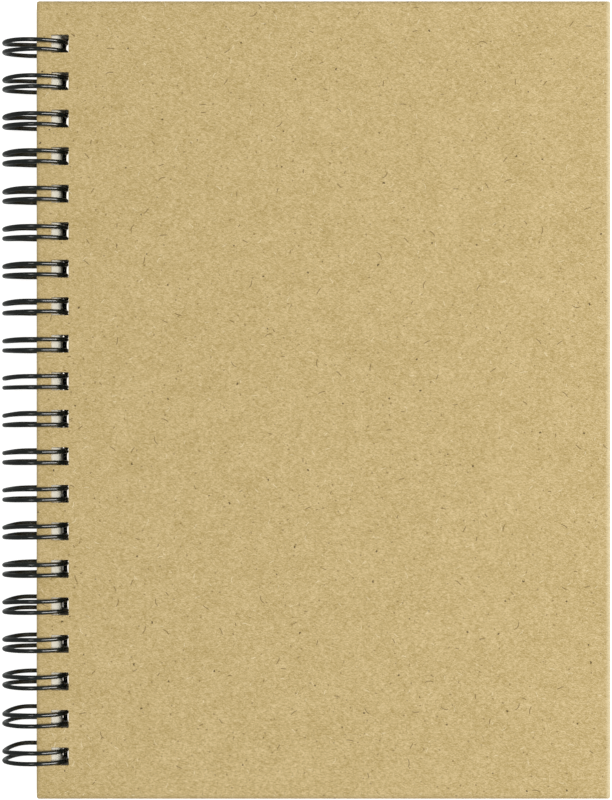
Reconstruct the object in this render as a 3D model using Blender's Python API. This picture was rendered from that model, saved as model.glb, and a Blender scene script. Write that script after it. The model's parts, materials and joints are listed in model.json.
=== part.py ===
"""A wire-bound sketchbook of the 13 x 18 cm format, closed, lying with its front cover up.

Two kraft boards and a block of drawing leaves hang on one twin-loop wire. X runs from the spine
to the fore edge, Y runs along the spine and Z is up. The origin is on the table, under the middle
of the book and its wire. All lengths are in metres.
"""

import math

import bpy

# Punching and wire: three holes to the inch, and the largest loop that is made for them
PITCH = 0.0254 / 3
HOLE_COUNT = 20
HOLE_SIDE = 0.0040
HOLE_MARGIN = 0.0032
LOOP_OUTER_DIAMETER = 0.0152
WIRE_DIAMETER = 0.0010
WIRE_PAIR_SPACING = 0.0025

# Boards
COVER_WIDTH = 0.1295
COVER_HEIGHT = 0.1800
COVER_THICKNESS = 0.0015
BOOK_THICKNESS = 0.0098
COVER_EDGE_FROM_LOOP_CENTRE = 0.00074

# Leaves
LEAF_COUNT = 24
LEAF_WIDTH = 0.1260
LEAF_HEIGHT = 0.1770
LEAF_THICKNESS = 0.00020

# Clearances
WIRE_CLEARANCE = 0.00040
SEAM_CLEARANCE = 0.00015
TIP_ABOVE_SEAM = 0.00045

# Facets of the wire
WIRE_BEVEL_RESOLUTION = 1
WIRE_FACET_TURN = math.radians(30)
FACETS_PER_TURN = 16
BEND_RADIUS = 0.0008
END_STUB = 0.0014

WIRE_RADIUS = WIRE_DIAMETER / 2
LOOP_RADIUS = LOOP_OUTER_DIAMETER / 2 - WIRE_RADIUS
LOOP_INNER_RADIUS = LOOP_RADIUS - WIRE_RADIUS
PAIR_HALF = WIRE_PAIR_SPACING / 2

# The loops' common axis, about which every board and leaf turns
LOOP_LEFT_OF_EDGE = LOOP_OUTER_DIAMETER / 2 + COVER_EDGE_FROM_LOOP_CENTRE
AXIS_X = -(LOOP_LEFT_OF_EDGE + COVER_WIDTH) / 2 + LOOP_OUTER_DIAMETER / 2
AXIS_Z = LOOP_OUTER_DIAMETER / 2

# Heights above the loops' axis
FRONT_TOP = BOOK_THICKNESS / 2
FRONT_UNDERSIDE = FRONT_TOP - COVER_THICKNESS
BACK_UNDERSIDE = -BOOK_THICKNESS / 2
BACK_TOP = BACK_UNDERSIDE + COVER_THICKNESS
SEAM_HEIGHT = BACK_TOP + SEAM_CLEARANCE + WIRE_RADIUS
LOWEST_LEAF_UNDERSIDE = SEAM_HEIGHT + WIRE_RADIUS + SEAM_CLEARANCE
LEAF_STEP = (FRONT_UNDERSIDE - LOWEST_LEAF_UNDERSIDE) / LEAF_COUNT

# Places on the loop, as lengths along its centre line from the point level with the axis
SEAM_ROOT = LOOP_RADIUS * math.asin(SEAM_HEIGHT / LOOP_RADIUS)
FINGER_TIP = SEAM_ROOT + TIP_ABOVE_SEAM - 2 * math.pi * LOOP_RADIUS

KRAFT_BOARD = ("kraft_board", (0.573, 0.442, 0.205), 0.85, 0.0)
DRAWING_PAPER = ("drawing_paper", (0.855, 0.835, 0.745), 0.90, 0.0)
BLACK_WIRE = ("black_wire", (0.012, 0.014, 0.013), 0.35, 0.0)


def clear_scene():
    for obj in list(bpy.data.objects):
        bpy.data.objects.remove(obj, do_unlink=True)


def new_collection(name):
    collection = bpy.data.collections.new(name)
    bpy.context.scene.collection.children.link(collection)
    return collection


def new_material(name, colour, roughness, metallic):
    material = bpy.data.materials.new(name)
    material.use_nodes = True
    shader = material.node_tree.nodes["Principled BSDF"]
    shader.inputs["Base Color"].default_value = (*colour, 1.0)
    shader.inputs["Roughness"].default_value = roughness
    shader.inputs["Metallic"].default_value = metallic
    return material


def hole_centres():
    """The punched holes' places along the spine."""
    first = -PITCH * (HOLE_COUNT - 1) / 2
    return [first + PITCH * i for i in range(HOLE_COUNT)]


def add_polygon(curve, corners):
    spline = curve.splines.new("POLY")
    spline.points.add(len(corners) - 1)
    for point, (x, y) in zip(spline.points, corners):
        point.co = (x, y, 0.0, 1.0)
    spline.use_cyclic_u = True


def rectangle(low_x, high_x, low_y, high_y):
    return [(low_x, low_y), (high_x, low_y), (high_x, high_y), (low_x, high_y)]


def punched_sheet(name, width, height, thickness, material):
    """A flat sheet with the row of square holes, its spine edge on the local Y axis."""
    curve = bpy.data.curves.new(name, "CURVE")
    curve.dimensions = "2D"
    curve.fill_mode = "BOTH"
    curve.extrude = thickness / 2
    add_polygon(curve, rectangle(0.0, width, -height / 2, height / 2))
    for y in hole_centres():
        hole = rectangle(
            HOLE_MARGIN, HOLE_MARGIN + HOLE_SIDE, y - HOLE_SIDE / 2, y + HOLE_SIDE / 2
        )
        add_polygon(curve, hole)
    curve.materials.append(material)
    return bpy.data.objects.new(name, curve)


def hang_on_loops(sheet, collection, edge, middle_height):
    """Parents a sheet to an empty on the loops' axis, and sets its edge and height from there."""
    hinge = bpy.data.objects.new(f"{sheet.name}_hinge", None)
    hinge.location = (AXIS_X, 0.0, AXIS_Z)
    hinge.empty_display_size = LOOP_RADIUS
    collection.objects.link(hinge)
    collection.objects.link(sheet)
    sheet.parent = hinge
    sheet.location = (edge, 0.0, middle_height)


def make_cover(name, collection, material, underside):
    cover = punched_sheet(name, COVER_WIDTH, COVER_HEIGHT, COVER_THICKNESS, material)
    hang_on_loops(
        cover, collection, COVER_EDGE_FROM_LOOP_CENTRE, underside + COVER_THICKNESS / 2
    )


def leaf_edge(low, high):
    """How far from the axis a leaf's spine edge lies, when its holes just clear the round wire."""
    furthest = max(abs(low), abs(high))
    wire_inside = math.sqrt(LOOP_INNER_RADIUS**2 - furthest**2)
    return wire_inside - WIRE_CLEARANCE - HOLE_MARGIN


def make_leaves(collection, material):
    """The leaves, counted from the front. Each follows the curve of the loops: the block is bowed."""
    for i in range(LEAF_COUNT):
        underside = FRONT_UNDERSIDE - (i + 1) * LEAF_STEP
        top = underside + LEAF_THICKNESS
        name = f"leaf_{i + 1:02d}"
        leaf = punched_sheet(name, LEAF_WIDTH, LEAF_HEIGHT, LEAF_THICKNESS, material)
        hang_on_loops(
            leaf, collection, leaf_edge(underside, top), (top + underside) / 2
        )


def finger_outline(y):
    """One twin loop unrolled flat, from root to root, as (place along the spine, length round the loop)."""
    arc_start = SEAM_ROOT - BEND_RADIUS
    arc_end = FINGER_TIP + PAIR_HALF
    facet = 2 * math.pi * LOOP_RADIUS / FACETS_PER_TURN
    corners = [-facet * i for i in range(2, FACETS_PER_TURN)]
    arc = [arc_start, *corners, arc_end]
    out = [(y - PAIR_HALF - BEND_RADIUS, SEAM_ROOT)]
    out += [(y - PAIR_HALF, along) for along in arc]
    for turn in (math.radians(60), math.radians(120)):
        out.append(
            (y - PAIR_HALF * math.cos(turn), arc_end - PAIR_HALF * math.sin(turn))
        )
    out += [(y + PAIR_HALF, along) for along in reversed(arc)]
    out.append((y + PAIR_HALF + BEND_RADIUS, SEAM_ROOT))
    return out


def rolled(y, along):
    """The point of the wire's centre line at this place, with the axis as origin."""
    angle = along / LOOP_RADIUS
    return (LOOP_RADIUS * math.cos(angle), y, LOOP_RADIUS * math.sin(angle))


def make_wire(collection, material):
    """The binding: one wire bent into a comb of double fingers and closed round the sheets."""
    centres = hole_centres()
    outline = [(centres[0] - PAIR_HALF - BEND_RADIUS - END_STUB, SEAM_ROOT)]
    for y in centres:
        outline += finger_outline(y)
    outline.append((centres[-1] + PAIR_HALF + BEND_RADIUS + END_STUB, SEAM_ROOT))
    curve = bpy.data.curves.new("wire_binding", "CURVE")
    curve.dimensions = "3D"
    curve.bevel_depth = WIRE_RADIUS
    curve.bevel_resolution = WIRE_BEVEL_RESOLUTION
    curve.use_fill_caps = True
    spline = curve.splines.new("POLY")
    spline.points.add(len(outline) - 1)
    for point, place in zip(spline.points, outline):
        point.co = (*rolled(*place), 1.0)
        point.tilt = WIRE_FACET_TURN
    curve.materials.append(material)
    wire = bpy.data.objects.new("wire_binding", curve)
    wire.location = (AXIS_X, 0.0, AXIS_Z)
    collection.objects.link(wire)


def main():
    clear_scene()
    book = new_collection("sketchbook")
    board = new_material(*KRAFT_BOARD)
    make_cover("front_cover", book, board, FRONT_UNDERSIDE)
    make_cover("back_cover", book, board, BACK_UNDERSIDE)
    make_leaves(book, new_material(*DRAWING_PAPER))
    make_wire(book, new_material(*BLACK_WIRE))


main()
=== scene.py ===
"""The looks of the wire-bound sketchbook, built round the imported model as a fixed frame.

Lengths are in metres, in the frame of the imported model: X from the spine to the fore edge, Y along
the spine, Z up out of the front cover. The boards, the leaves and the wire each replace their plain
CAD node with a finer piece of the same size and place, which rides on the same body.
"""

import json
import math
import random

import bmesh
import bpy
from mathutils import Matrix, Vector


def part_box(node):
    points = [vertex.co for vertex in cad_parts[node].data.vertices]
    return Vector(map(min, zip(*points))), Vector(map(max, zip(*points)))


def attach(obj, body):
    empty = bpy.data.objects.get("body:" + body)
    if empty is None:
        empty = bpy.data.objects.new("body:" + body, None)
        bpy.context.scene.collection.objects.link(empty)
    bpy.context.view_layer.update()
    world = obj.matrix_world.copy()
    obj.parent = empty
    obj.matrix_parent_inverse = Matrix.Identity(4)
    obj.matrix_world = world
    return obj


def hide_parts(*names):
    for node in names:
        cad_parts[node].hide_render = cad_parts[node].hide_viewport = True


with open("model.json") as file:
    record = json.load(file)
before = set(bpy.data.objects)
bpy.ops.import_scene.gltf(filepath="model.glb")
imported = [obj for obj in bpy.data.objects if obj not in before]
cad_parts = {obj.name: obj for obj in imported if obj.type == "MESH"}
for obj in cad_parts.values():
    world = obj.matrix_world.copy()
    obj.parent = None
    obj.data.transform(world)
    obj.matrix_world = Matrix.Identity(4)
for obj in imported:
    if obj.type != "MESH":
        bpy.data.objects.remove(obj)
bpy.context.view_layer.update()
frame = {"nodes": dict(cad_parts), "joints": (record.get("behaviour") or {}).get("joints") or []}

# Punching, the same for boards and leaves
PITCH = 0.0254 / 3
HOLE_COUNT = 20
HOLE_SIDE = 0.0040
HOLE_MARGIN = 0.0032

# The wire and its loops
WIRE_RADIUS = 0.0005
PAIR_HALF = 0.00125
WIRE_LOW, WIRE_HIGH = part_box("wire_binding")
LOOP_RADIUS = (WIRE_HIGH.x - WIRE_LOW.x) / 2 - WIRE_RADIUS
AXIS = Vector(frame["joints"][0]["pos_m"])

# Boards
BACK_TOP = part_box("back_cover")[1].z
FRONT_LOW, FRONT_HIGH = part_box("front_cover")
BOARD_EDGE_ROUND = 0.00012
BOARD_CORNER_ROUND = 0.00055
HOLE_CORNER_ROUND = 0.00022
BOARD_CORNER_STEPS = 4
HOLE_CORNER_STEPS = 3
SHARP_TURN = math.radians(35)

# Leaves
LEAF_COUNT = sum(1 for name in frame["nodes"] if name.startswith("leaf_"))
LEAF_THICKNESS = 0.00020
LEAF_BEND_LENGTH = 0.045
LAST_BEND_COLUMN = 0.043
BEND_COLUMNS = 9
FLAT_COLUMNS = 8
LEAF_WAVE = 0.00003
WAVE_ALONG_SPINE = 70.0
WAVE_FROM_SPINE = 25.0

# The photographer's camera: straight above the book
CAMERA_FROM_SPINE_EDGE = 0.06078
CAMERA_ABOVE_COVER = 0.625
VIEW_HEIGHT = 0.1805
SENSOR = 36.0
FLOOR_REACH = 3.0
BOOK_MIDDLE = (0.0, 0.0, 0.0)


def hole_centres():
    """The punched holes' places along the spine."""
    first = -PITCH * (HOLE_COUNT - 1) / 2
    return [first + PITCH * i for i in range(HOLE_COUNT)]


def eased(share):
    """A smooth step from 0 to 1."""
    held = min(1.0, max(0.0, share))
    return held * held * (3 - 2 * held)


# ---------------------------------------------------------------------------------------------
# Shader building blocks


def new_material(name):
    material = bpy.data.materials.new(name)
    material.use_nodes = True
    return material, material.node_tree


def add_node(tree, kind, **settings):
    node = tree.nodes.new(kind)
    for key, value in settings.items():
        setattr(node, key, value)
    return node


def feed(tree, socket, value):
    """Links a socket to another node's output, or sets it to a number or colour."""
    if isinstance(value, bpy.types.NodeSocket):
        tree.links.new(value, socket)
    else:
        socket.default_value = value


def calc(tree, operation, *values):
    """A Math node's result."""
    node = add_node(tree, "ShaderNodeMath", operation=operation)
    for socket, value in zip(node.inputs, values):
        feed(tree, socket, value)
    return node.outputs[0]


def vector_calc(tree, operation, *values):
    """A Vector Math node's result."""
    node = add_node(tree, "ShaderNodeVectorMath", operation=operation)
    for socket, value in zip(node.inputs, values):
        feed(tree, socket, value)
    return node.outputs[0]


def spread(tree, value, low, high, to_low, to_high):
    """A smooth step: to_low below low, to_high above high."""
    node = add_node(tree, "ShaderNodeMapRange", interpolation_type="SMOOTHSTEP")
    for socket, number in zip(node.inputs, (value, low, high, to_low, to_high)):
        feed(tree, socket, number)
    return node.outputs[0]


def mix(tree, share, first, second):
    """Two colours mixed."""
    node = add_node(tree, "ShaderNodeMix", data_type="RGBA")
    feed(tree, node.inputs["Factor"], share)
    feed(tree, node.inputs["A"], first)
    feed(tree, node.inputs["B"], second)
    return node.outputs["Result"]


def place(tree):
    """The surface point in the model's own frame, in millimetres."""
    coordinates = add_node(tree, "ShaderNodeTexCoord")
    return vector_calc(
        tree, "MULTIPLY", coordinates.outputs["Object"], (1000.0, 1000.0, 1000.0)
    )


def noise(tree, point, size, detail=2.0, stretch=(1.0, 1.0, 1.0), turn=0.0, seed=0.0):
    """Noise whose blobs are about size millimetres across, stretched and turned about Z."""
    mapping = add_node(tree, "ShaderNodeMapping")
    feed(tree, mapping.inputs["Vector"], point)
    mapping.inputs["Rotation"].default_value = (0.0, 0.0, turn)
    mapping.inputs["Location"].default_value = (seed, seed, seed)
    turned = mapping.outputs[0]
    scaled = vector_calc(tree, "DIVIDE", turned, tuple(size * s for s in stretch))
    node = add_node(tree, "ShaderNodeTexNoise")
    feed(tree, node.inputs["Vector"], scaled)
    node.inputs["Scale"].default_value = 1.0
    node.inputs["Detail"].default_value = detail
    node.inputs["Roughness"].default_value = 0.6
    return node.outputs["Fac"]


def fibres(tree, point, cell, length, width, chance, seed):
    """Short scattered fibres, slightly bowed: 1 on a fibre, 0 beside it.

    Each cell holds at most one, turned any way. Measures are in millimetres."""
    shifted = vector_calc(tree, "ADD", point, (seed, seed * 1.7, 0.0))
    scaled = vector_calc(tree, "DIVIDE", shifted, (cell, cell, cell))
    cells = add_node(tree, "ShaderNodeTexVoronoi", voronoi_dimensions="2D")
    feed(tree, cells.inputs["Vector"], scaled)
    cells.inputs["Scale"].default_value = 1.0
    away = vector_calc(tree, "SUBTRACT", scaled, cells.outputs["Position"])
    away = vector_calc(tree, "MULTIPLY", away, (cell, cell, 0.0))
    chances = add_node(tree, "ShaderNodeSeparateColor")
    feed(tree, chances.inputs[0], cells.outputs["Color"])
    turned = add_node(tree, "ShaderNodeVectorRotate", rotation_type="Z_AXIS")
    feed(tree, turned.inputs["Vector"], away)
    feed(tree, turned.inputs["Angle"], calc(tree, "MULTIPLY", chances.outputs[0], math.tau))
    along = add_node(tree, "ShaderNodeSeparateXYZ")
    feed(tree, along.inputs[0], turned.outputs[0])
    most_bow = 1.2 / length
    bow = calc(tree, "MULTIPLY", calc(tree, "SUBTRACT", chances.outputs[1], 0.5), most_bow)
    square = calc(tree, "MULTIPLY", along.outputs[0], along.outputs[0])
    across = calc(tree, "SUBTRACT", along.outputs[1], calc(tree, "MULTIPLY", bow, square))
    half = calc(tree, "MULTIPLY", calc(tree, "ADD", chances.outputs[1], 0.5), length / 2)
    reach = calc(tree, "DIVIDE", calc(tree, "ABSOLUTE", along.outputs[0]), half)
    ends = spread(tree, reach, 0.7, 1.0, 1.0, 0.0)
    sides = spread(tree, calc(tree, "ABSOLUTE", across), width * 0.2, width * 0.6, 1.0, 0.0)
    there = calc(tree, "LESS_THAN", chances.outputs[2], chance)
    return calc(tree, "MULTIPLY", calc(tree, "MULTIPLY", ends, sides), there)


def facing_up(tree):
    """1 on the sheet's faces, 0 on its cut edges."""
    coordinates = add_node(tree, "ShaderNodeTexCoord")
    parts = add_node(tree, "ShaderNodeSeparateXYZ")
    feed(tree, parts.inputs[0], coordinates.outputs["Normal"])
    return spread(tree, calc(tree, "ABSOLUTE", parts.outputs[2]), 0.45, 0.8, 0.0, 1.0)


def bump(tree, height, strength, distance):
    node = add_node(tree, "ShaderNodeBump")
    feed(tree, node.inputs["Height"], height)
    node.inputs["Strength"].default_value = strength
    node.inputs["Distance"].default_value = distance
    return node.outputs[0]


def weighted_sum(tree, terms):
    """The sum of (value, weight) terms."""
    total = 0.0
    for value, weight in terms:
        total = calc(tree, "MULTIPLY_ADD", value, weight, total)
    return total


# ---------------------------------------------------------------------------------------------
# Materials

# Fibres and specks in the kraft: cell, length and width in millimetres, the share of cells that
# hold one, the seed, the strength and the colour. The first two are light and stand proud.
KRAFT_FIBRES = (
    (1.3, 1.0, 0.14, 0.45, 31.0, 0.42, (0.82, 0.69, 0.42, 1.0)),
    (4.2, 1.1, 0.16, 0.28, 43.0, 0.60, (0.90, 0.80, 0.56, 1.0)),
    (1.2, 0.9, 0.14, 0.45, 11.0, 0.42, (0.25, 0.165, 0.055, 1.0)),
    (6.0, 1.5, 0.22, 0.26, 23.0, 0.82, (0.16, 0.100, 0.036, 1.0)),
    (2.6, 0.40, 0.38, 0.28, 57.0, 0.64, (0.20, 0.128, 0.047, 1.0)),
    (9.0, 0.45, 0.42, 0.34, 77.0, 0.96, (0.11, 0.070, 0.026, 1.0)),
)

# How far the kraft's weighted noise reaches to either side of its middle, from dark to light
KRAFT_CONTRAST = 0.23


def rim(tree, point, low, high):
    """How far a point on a board lies from the head, tail and spine edges, and from the fore edge."""
    parts = add_node(tree, "ShaderNodeSeparateXYZ")
    feed(tree, parts.inputs[0], point)
    from_ends = calc(tree, "SUBTRACT", high.y * 1000, calc(tree, "ABSOLUTE", parts.outputs[1]))
    from_spine = calc(tree, "SUBTRACT", parts.outputs[0], low.x * 1000)
    from_fore = calc(tree, "SUBTRACT", high.x * 1000, parts.outputs[0])
    return calc(tree, "MINIMUM", from_ends, from_spine), from_fore


def kraft_material():
    """Uncoated grey-brown kraft board: matted fibres, dark specks, and a layered cut edge."""
    material, tree = new_material("kraft_board")
    shader = tree.nodes["Principled BSDF"]
    point = place(tree)
    clouds = noise(tree, point, 7.0, detail=2.0)
    mottle = noise(tree, point, 1.3, detail=3.0, stretch=(1.4, 1.0, 1.0), seed=5.0)
    mats = [
        noise(tree, point, 0.30, detail=2.0, stretch=(3.4, 0.65, 1.0), turn=turn, seed=9.0 + turn)
        for turn in (math.radians(8), math.radians(36), math.radians(-26))
    ]
    grain = noise(tree, point, 0.20, detail=1.0, seed=3.0)
    terms = [(clouds, 0.12), (mottle, 0.20), (grain, 0.52)]
    terms += [(mat, weight) for mat, weight in zip(mats, (0.52, 0.36, 0.36))]
    texture = weighted_sum(tree, terms)
    middle = sum(weight for _, weight in terms) / 2
    tone = spread(tree, texture, middle - KRAFT_CONTRAST, middle + KRAFT_CONTRAST, 0.0, 1.0)
    dark = (0.415, 0.298, 0.102, 1.0)
    light = (0.690, 0.540, 0.290, 1.0)
    colour = mix(tree, tone, dark, light)
    layers = []
    for *shape, strength, tint in KRAFT_FIBRES:
        layers.append(fibres(tree, point, *shape))
        colour = mix(tree, calc(tree, "MULTIPLY", layers[-1], strength), colour, tint)
    from_rim, from_fore = rim(tree, point, FRONT_LOW, FRONT_HIGH)
    # Painted shade: the kraft turns darker within about a millimetre of the head, tail and spine
    # edges, where the rounded arris falls into shade
    painted_edge_shade = spread(tree, from_rim, 0.0, 1.0, 0.42, 0.0)
    colour = mix(tree, painted_edge_shade, colour, (0.23, 0.175, 0.085, 1.0))
    # Painted highlight: a paler band of about a millimetre along the fore edge, where the rounded
    # edge catches the softbox's light
    painted_fore_edge_highlight = spread(tree, from_fore, 0.10, 1.3, 0.55, 0.0)
    colour = mix(tree, painted_fore_edge_highlight, colour, (0.88, 0.78, 0.54, 1.0))
    plies = noise(tree, point, 0.16, detail=2.0, stretch=(14.0, 14.0, 1.0), seed=21.0)
    cut = mix(tree, spread(tree, plies, 0.35, 0.65, 0.0, 1.0),
              (0.26, 0.185, 0.078, 1.0), (0.46, 0.35, 0.175, 1.0))
    colour = mix(tree, facing_up(tree), cut, colour)
    feed(tree, shader.inputs["Base Color"], colour)
    dullness = spread(tree, texture, middle - 0.3, middle + 0.3, 0.92, 0.80)
    feed(tree, shader.inputs["Roughness"], dullness)
    shader.inputs["Specular IOR Level"].default_value = 0.25
    relief = weighted_sum(tree, [(texture, 1.0), (layers[0], 0.20), (layers[1], 0.25)])
    feed(tree, shader.inputs["Normal"], bump(tree, relief, 0.40, 0.00007))
    return material


def paper_material():
    """Cream uncoated drawing paper with a fine tooth."""
    material, tree = new_material("drawing_paper")
    shader = tree.nodes["Principled BSDF"]
    point = place(tree)
    tooth = noise(tree, point, 0.30, detail=3.0)
    clouds = noise(tree, point, 2.4, detail=2.0, seed=7.0)
    texture = weighted_sum(tree, [(tooth, 0.6), (clouds, 0.4)])
    tone = spread(tree, texture, 0.35, 0.65, 0.0, 1.0)
    colour = mix(tree, tone, (0.845, 0.815, 0.705, 1.0), (0.890, 0.868, 0.775, 1.0))
    hairs = fibres(tree, point, 4.2, 1.1, 0.07, 0.25, seed=3.0)
    colour = mix(tree, calc(tree, "MULTIPLY", hairs, 0.12), colour, (0.55, 0.50, 0.38, 1.0))
    fuzz = noise(tree, point, 0.5, detail=2.0, stretch=(1.0, 1.0, 0.2), seed=13.0)
    cut = mix(tree, fuzz, (0.66, 0.63, 0.51, 1.0), (0.86, 0.84, 0.74, 1.0))
    colour = mix(tree, facing_up(tree), cut, colour)
    feed(tree, shader.inputs["Base Color"], colour)
    shader.inputs["Roughness"].default_value = 0.88
    shader.inputs["Specular IOR Level"].default_value = 0.3
    feed(tree, shader.inputs["Normal"], bump(tree, tooth, 0.25, 0.00004))
    return material


def wire_material():
    """Steel wire with a black nylon coat: a little orange peel, and scuffs that dull the gloss."""
    material, tree = new_material("black_wire")
    shader = tree.nodes["Principled BSDF"]
    point = place(tree)
    peel = noise(tree, point, 0.16, detail=2.0)
    scuffs = noise(tree, point, 1.1, detail=4.0, seed=4.0)
    worn = spread(tree, scuffs, 0.45, 0.70, 0.0, 1.0)
    colour = mix(tree, worn, (0.0040, 0.0058, 0.0048, 1.0), (0.0080, 0.0112, 0.0094, 1.0))
    feed(tree, shader.inputs["Base Color"], colour)
    feed(tree, shader.inputs["Roughness"], spread(tree, scuffs, 0.35, 0.7, 0.14, 0.20))
    shader.inputs["IOR"].default_value = 1.50
    shader.inputs["Coat Weight"].default_value = 0.7
    shader.inputs["Coat Roughness"].default_value = 0.12
    feed(tree, shader.inputs["Normal"], bump(tree, peel, 0.05, 0.00003))
    return material


def floor_material():
    """A pale floor, lit through as a photographer's light table is."""
    material, tree = new_material("pale_floor")
    shader = tree.nodes["Principled BSDF"]
    shader.inputs["Base Color"].default_value = (0.80, 0.80, 0.80, 1.0)
    shader.inputs["Roughness"].default_value = 0.9
    shader.inputs["Emission Color"].default_value = (1.0, 1.0, 1.0, 1.0)
    shader.inputs["Emission Strength"].default_value = 0.85
    return material


# ---------------------------------------------------------------------------------------------
# Boards


def rounded_rectangle(low, high, radius, steps):
    """The corners of a rectangle in XY, rounded by arcs of that many steps."""
    turns = (math.pi, 1.5 * math.pi, 0.0, 0.5 * math.pi)
    corners = ((low[0], low[1]), (high[0], low[1]), (high[0], high[1]), (low[0], high[1]))
    inward = ((1, 1), (-1, 1), (-1, -1), (1, -1))
    points = []
    for start, (x, y), (sx, sy) in zip(turns, corners, inward):
        for step in range(steps + 1):
            turn = start + step / steps * math.pi / 2
            points.append(
                (x + radius * (sx + math.cos(turn)), y + radius * (sy + math.sin(turn)))
            )
    return points


def add_outline(curve, points):
    spline = curve.splines.new("POLY")
    spline.points.add(len(points) - 1)
    for target, (x, y) in zip(spline.points, points):
        target.co = (x, y, 0.0, 1.0)
    spline.use_cyclic_u = True


def make_board(name, low, high, material):
    """A punched board with softly rounded arrises, in the place of its CAD node."""
    thickness = high.z - low.z
    curve = bpy.data.curves.new(name, "CURVE")
    curve.dimensions = "2D"
    curve.fill_mode = "BOTH"
    curve.extrude = thickness / 2 - BOARD_EDGE_ROUND
    curve.bevel_depth = BOARD_EDGE_ROUND
    curve.bevel_resolution = 2
    curve.offset = -BOARD_EDGE_ROUND
    add_outline(curve, rounded_rectangle(low, high, BOARD_CORNER_ROUND, BOARD_CORNER_STEPS))
    for y in hole_centres():
        start = (low.x + HOLE_MARGIN, y - HOLE_SIDE / 2)
        end = (low.x + HOLE_MARGIN + HOLE_SIDE, y + HOLE_SIDE / 2)
        add_outline(curve, rounded_rectangle(start, end, HOLE_CORNER_ROUND, HOLE_CORNER_STEPS))
    holder = bpy.data.objects.new(name, curve)
    bpy.context.scene.collection.objects.link(holder)
    bpy.context.view_layer.update()
    evaluated = holder.evaluated_get(bpy.context.evaluated_depsgraph_get())
    mesh = bpy.data.meshes.new_from_object(evaluated)
    bpy.data.objects.remove(holder)
    work = bmesh.new()
    work.from_mesh(mesh)
    bmesh.ops.remove_doubles(work, verts=work.verts, dist=1e-6)
    bmesh.ops.translate(work, verts=work.verts, vec=(0.0, 0.0, (low.z + high.z) / 2))
    work.to_mesh(mesh)
    work.free()
    mesh.materials.clear()
    mesh.materials.append(material)
    mesh.set_sharp_from_angle(angle=SHARP_TURN)
    for face in mesh.polygons:
        lies_flat = abs(face.normal.z) >= 0.99
        face.use_smooth = not lies_flat
    board = bpy.data.objects.new(name, mesh)
    bpy.context.scene.collection.objects.link(board)
    return board


# ---------------------------------------------------------------------------------------------
# Leaves


def leaf_columns(edge, fore_edge):
    """Places across a leaf: its hole's two sides, then closer together where it bends."""
    hole_left = edge + HOLE_MARGIN
    hole_right = hole_left + HOLE_SIDE
    shares = [i / BEND_COLUMNS for i in range(1, BEND_COLUMNS + 1)]
    bend = [hole_right + LAST_BEND_COLUMN * share**1.2 for share in shares]
    flat_width = fore_edge - bend[-1]
    flat = [bend[-1] + flat_width * i / FLAT_COLUMNS for i in range(1, FLAT_COLUMNS + 1)]
    return [edge, hole_left, hole_right, *bend, *flat]


def leaf_rows(low, high):
    rows = [low]
    for y in hole_centres():
        rows += [y - HOLE_SIDE / 2, y + HOLE_SIDE / 2]
    return rows + [high]


def sheet_mesh(name, columns, rows, height, thickness):
    """A sheet on a grid, with the punched cells left open, as one closed skin.

    The holes are column 1 of every odd row. height(x, y) is the sheet's middle surface."""
    work = bmesh.new()
    sides = []
    for half in (-thickness / 2, thickness / 2):
        sides.append(
            [[work.verts.new((x, y, height(x, y) + half)) for x in columns] for y in rows]
        )
    under, over = sides
    solid = set()
    for j in range(len(rows) - 1):
        for i in range(len(columns) - 1):
            if not (i == 1 and j % 2 == 1):
                solid.add((i, j))
    for i, j in solid:
        cell = ((j, i), (j, i + 1), (j + 1, i + 1), (j + 1, i))
        work.faces.new([over[a][b] for a, b in cell])
        work.faces.new([under[a][b] for a, b in reversed(cell)])
        borders = (
            ((i, j - 1), (j, i), (j, i + 1)),
            ((i + 1, j), (j, i + 1), (j + 1, i + 1)),
            ((i, j + 1), (j + 1, i + 1), (j + 1, i)),
            ((i - 1, j), (j + 1, i), (j, i)),
        )
        for neighbour, (a, b), (c, d) in borders:
            if neighbour not in solid:
                work.faces.new((under[a][b], under[c][d], over[c][d], over[a][b]))
    mesh = bpy.data.meshes.new(name)
    work.to_mesh(mesh)
    work.free()
    return mesh


def make_leaf(index, material):
    """One leaf. It leaves the loops where its CAD node does, then eases down with the block."""
    node = f"leaf_{index + 1:02d}"
    low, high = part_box(node)
    middle = (low.z + high.z) / 2
    space = (FRONT_LOW.z - BACK_TOP) / LEAF_COUNT
    rest = FRONT_LOW.z - space * (index + 0.5)
    draw = random.Random(node)
    wave = LEAF_WAVE * draw.uniform(-1.0, 1.0)
    phase = draw.uniform(0.0, math.tau)
    bend_start = low.x + HOLE_MARGIN + HOLE_SIDE

    def height(x, y):
        share = eased((x - bend_start) / LEAF_BEND_LENGTH)
        ripple = wave * share * math.sin(phase + y * WAVE_ALONG_SPINE + x * WAVE_FROM_SPINE)
        return middle + (rest - middle) * share + ripple

    columns = leaf_columns(low.x, high.x)
    rows = leaf_rows(low.y, high.y)
    mesh = sheet_mesh(f"{node}_sheet", columns, rows, height, LEAF_THICKNESS)
    mesh.materials.append(material)
    leaf = bpy.data.objects.new(f"{node}_sheet", mesh)
    bpy.context.scene.collection.objects.link(leaf)
    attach(leaf, node)
    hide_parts(node)


# ---------------------------------------------------------------------------------------------
# Wire

SEAM_CLEARANCE = 0.00015
TIP_ABOVE_SEAM = 0.00045
BEND_RADIUS = 0.0008
END_STUB = 0.0014
ARC_POINTS = 44
BEND_STEPS = 5
TIP_STEPS = 10

# Places on the loop, as lengths along its centre line from the point level with the axis
SEAM_HEIGHT = BACK_TOP + SEAM_CLEARANCE + WIRE_RADIUS - AXIS.z
SEAM_ROOT = LOOP_RADIUS * math.asin(SEAM_HEIGHT / LOOP_RADIUS)
FINGER_TIP = SEAM_ROOT + TIP_ABOVE_SEAM - 2 * math.pi * LOOP_RADIUS

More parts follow.
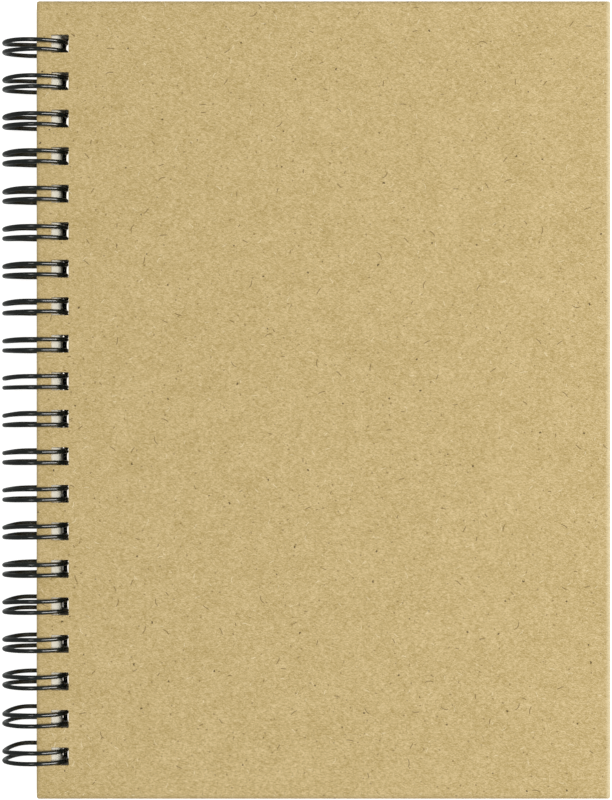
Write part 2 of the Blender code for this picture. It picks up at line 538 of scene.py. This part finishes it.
# Where a loop leaves the round: its tip tucks in, its root bulges out, and its two strands close up
# at the spine side and again towards the tip
TIP_TUCK = 0.00035
TIP_TUCK_LENGTH = 0.0030
ROOT_BULGE = 0.0003
ROOT_BULGE_LENGTH = 0.0025
WAIST = 0.16
WAIST_HALF_TURN = math.radians(75)
PINCH_START = math.radians(190)
PINCH_TURN = math.radians(110)

# Round a loop, from its root under the block: the seam, the underside, the spine side, the top and
# the holes. Each loop strays along the spine by its own amounts at these.
STATIONS = [math.radians(turn) for turn in (-23, -115, -180, -265, -318)]

# The ranges that those amounts are drawn from, in metres, or as shares of the play in the holes
PINCH = (0.95, 1.0)
HOLES_SHARE = (-0.95, 0.05)
HOLE_GAP = 0.00004
SEAM_STRAY = (-0.00008, 0.00008)
SIDE_LEAN = (0.00020, 0.00052)
UNDERSIDE_STRAY = (-0.00035, 0.00022)

# The first loop, from the head, is pinched, and the last ones lean
FIRST_PINCH = 0.82
FIRST_HOLES_SHARE = -0.9
LEANING_FROM = 15
LEANING_SPREAD = 3
SIDE_LEANT = 0.00030
UNDERSIDE_LEANT = 0.00045

# The most that a loop may stray and still clear the holes of a turned sheet
SIDE_LIMIT = -0.00042
UNDERSIDE_LIMITS = (-0.00026, 0.00044)

WIRE_SEED = 16


def bend_points(side):
    """A quarter bend from the seam into a finger's straight run, unrolled."""
    points = []
    for step in range(BEND_STEPS + 1):
        turn = step / BEND_STEPS * math.pi / 2
        out = BEND_RADIUS * (1 - math.sin(turn))
        along = SEAM_ROOT - BEND_RADIUS * (1 - math.cos(turn))
        points.append((side * (PAIR_HALF + out), along))
    return points


def finger_points():
    """One twin loop, unrolled: up one side, round its tip and back."""
    start = SEAM_ROOT - BEND_RADIUS
    end = FINGER_TIP + PAIR_HALF
    run = [start + (end - start) * i / ARC_POINTS for i in range(1, ARC_POINTS)]
    tip = []
    for step in range(TIP_STEPS + 1):
        turn = step / TIP_STEPS * math.pi
        tip.append((-PAIR_HALF * math.cos(turn), end - PAIR_HALF * math.sin(turn)))
    up = [(-PAIR_HALF, along) for along in run]
    down = [(PAIR_HALF, along) for along in reversed(run)]
    return [*bend_points(-1), *up, *tip, *down, *reversed(bend_points(1))]


def loop_strays(draw, index):
    """How far one loop strays along the spine at each station, and its spacing in the holes."""
    pinch = draw.uniform(*PINCH) if index else FIRST_PINCH
    play = HOLE_SIDE / 2 - pinch * PAIR_HALF - WIRE_RADIUS - HOLE_GAP
    holes = (draw.uniform(*HOLES_SHARE) if index else FIRST_HOLES_SHARE) * play
    seam = draw.uniform(*SEAM_STRAY)
    leant = eased((index - LEANING_FROM) / LEANING_SPREAD)
    side = max(SIDE_LIMIT, holes - draw.uniform(*SIDE_LEAN) + SIDE_LEANT * leant)
    top = holes * 0.8 - 0.00006
    low, high = UNDERSIDE_LIMITS
    underside = draw.uniform(*UNDERSIDE_STRAY) + UNDERSIDE_LEANT * leant
    return (seam, min(high, max(low, underside)), side, top, holes), pinch


def stray_at(angle, strays):
    """The stray at an angle round the loop, eased from station to station."""
    if angle >= STATIONS[0]:
        return strays[0]
    for i in range(1, len(STATIONS)):
        if angle >= STATIONS[i]:
            share = (STATIONS[i - 1] - angle) / (STATIONS[i - 1] - STATIONS[i])
            return strays[i - 1] + (strays[i] - strays[i - 1]) * eased(share)
    return strays[-1]


def rolled(centre, across, along, strays, pinch, tuck):
    """A point of the unrolled wire, rolled round the loops' axis with its loop's own shape.

    The fourth number is the weight that a curve's point asks for."""
    angle = along / LOOP_RADIUS
    narrowed = 1.0 - (1.0 - pinch) * eased((-angle - PINCH_START) / PINCH_TURN)
    narrowed -= WAIST * (1.0 - eased(abs(angle + math.pi) / WAIST_HALF_TURN))
    near_tip = 1.0 - eased((along - FINGER_TIP) / TIP_TUCK_LENGTH)
    near_root = 1.0 - eased((SEAM_ROOT - along) / ROOT_BULGE_LENGTH)
    radius = LOOP_RADIUS - tuck * near_tip + ROOT_BULGE * near_root
    return (
        AXIS.x + radius * math.cos(angle),
        centre + across * narrowed + stray_at(angle, strays),
        AXIS.z + radius * math.sin(angle),
        1.0,
    )


def make_wire(material):
    """The binding as one wire from foot to head, drawn loop by loop from the head."""
    draw = random.Random(WIRE_SEED)
    centres = hole_centres()
    straight = (0.0,) * len(STATIONS)
    stub = PAIR_HALF + BEND_RADIUS + END_STUB
    points = [rolled(centres[0], -stub, SEAM_ROOT, straight, 1.0, 0.0)]
    for index, centre in enumerate(reversed(centres)):
        strays, pinch = loop_strays(draw, index)
        tuck = TIP_TUCK * (1.0 - index / HOLE_COUNT)
        points[1:1] = [rolled(centre, *spot, strays, pinch, tuck) for spot in finger_points()]
    points.append(rolled(centres[-1], stub, SEAM_ROOT, straight, 1.0, 0.0))
    curve = bpy.data.curves.new("twin_loop_wire", "CURVE")
    curve.dimensions = "3D"
    curve.bevel_depth = WIRE_RADIUS
    curve.bevel_resolution = 4
    curve.use_fill_caps = True
    spline = curve.splines.new("POLY")
    spline.points.add(len(points) - 1)
    for target, point in zip(spline.points, points):
        target.co = point
    spline.use_smooth = True
    curve.materials.append(material)
    wire = bpy.data.objects.new("twin_loop_wire", curve)
    bpy.context.scene.collection.objects.link(wire)
    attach(wire, "binding")
    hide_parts("wire_binding")


# ---------------------------------------------------------------------------------------------
# Studio


def aim(obj, target):
    obj.rotation_euler = (Vector(target) - obj.location).to_track_quat("-Z", "Y").to_euler()


def area_light(name, location, target, size, power, colour):
    data = bpy.data.lights.new(name, "AREA")
    data.shape = "RECTANGLE"
    data.size = size[0]
    data.size_y = size[1]
    data.energy = power
    data.color = colour
    light = bpy.data.objects.new(name, data)
    light.location = location
    aim(light, target)
    bpy.context.scene.collection.objects.link(light)


def make_floor():
    mesh = bpy.data.meshes.new("floor")
    work = bmesh.new()
    bmesh.ops.create_grid(work, x_segments=1, y_segments=1, size=FLOOR_REACH)
    work.to_mesh(mesh)
    work.free()
    mesh.materials.append(floor_material())
    floor = bpy.data.objects.new("floor", mesh)
    floor.visible_glossy = False
    bpy.context.scene.collection.objects.link(floor)


def make_camera():
    data = bpy.data.cameras.new("camera")
    data.sensor_width = SENSOR
    data.lens = SENSOR * CAMERA_ABOVE_COVER / VIEW_HEIGHT
    camera = bpy.data.objects.new("camera", data)
    across = FRONT_LOW.x + CAMERA_FROM_SPINE_EDGE
    camera.location = (across, 0.0, FRONT_HIGH.z + CAMERA_ABOVE_COVER)
    bpy.context.scene.collection.objects.link(camera)
    bpy.context.scene.camera = camera


def make_studio():
    world = bpy.data.worlds.new("studio")
    world.use_nodes = True
    background = world.node_tree.nodes["Background"]
    background.inputs["Color"].default_value = (0.86, 0.90, 0.87, 1.0)
    background.inputs["Strength"].default_value = 0.24
    bpy.context.scene.world = world
    area_light("softbox", (1.45, 0.0, 1.00), BOOK_MIDDLE, (0.50, 1.9), 45.0, (1.0, 0.985, 0.965))
    area_light("top_fill", (-0.35, 0.15, 1.7), BOOK_MIDDLE, (0.5, 0.5), 4.2, (1.0, 0.99, 0.975))


# ---------------------------------------------------------------------------------------------


def make_book():
    kraft = kraft_material()
    for node, body in (("front_cover", "front_cover"), ("back_cover", "binding")):
        board = make_board(f"{node}_board", *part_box(node), kraft)
        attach(board, body)
        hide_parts(node)
    paper = paper_material()
    for index in range(LEAF_COUNT):
        make_leaf(index, paper)
    make_wire(wire_material())


def main():
    make_camera()
    make_studio()
    make_floor()
    make_book()
    bpy.context.scene.view_settings.view_transform = "Standard"


main()
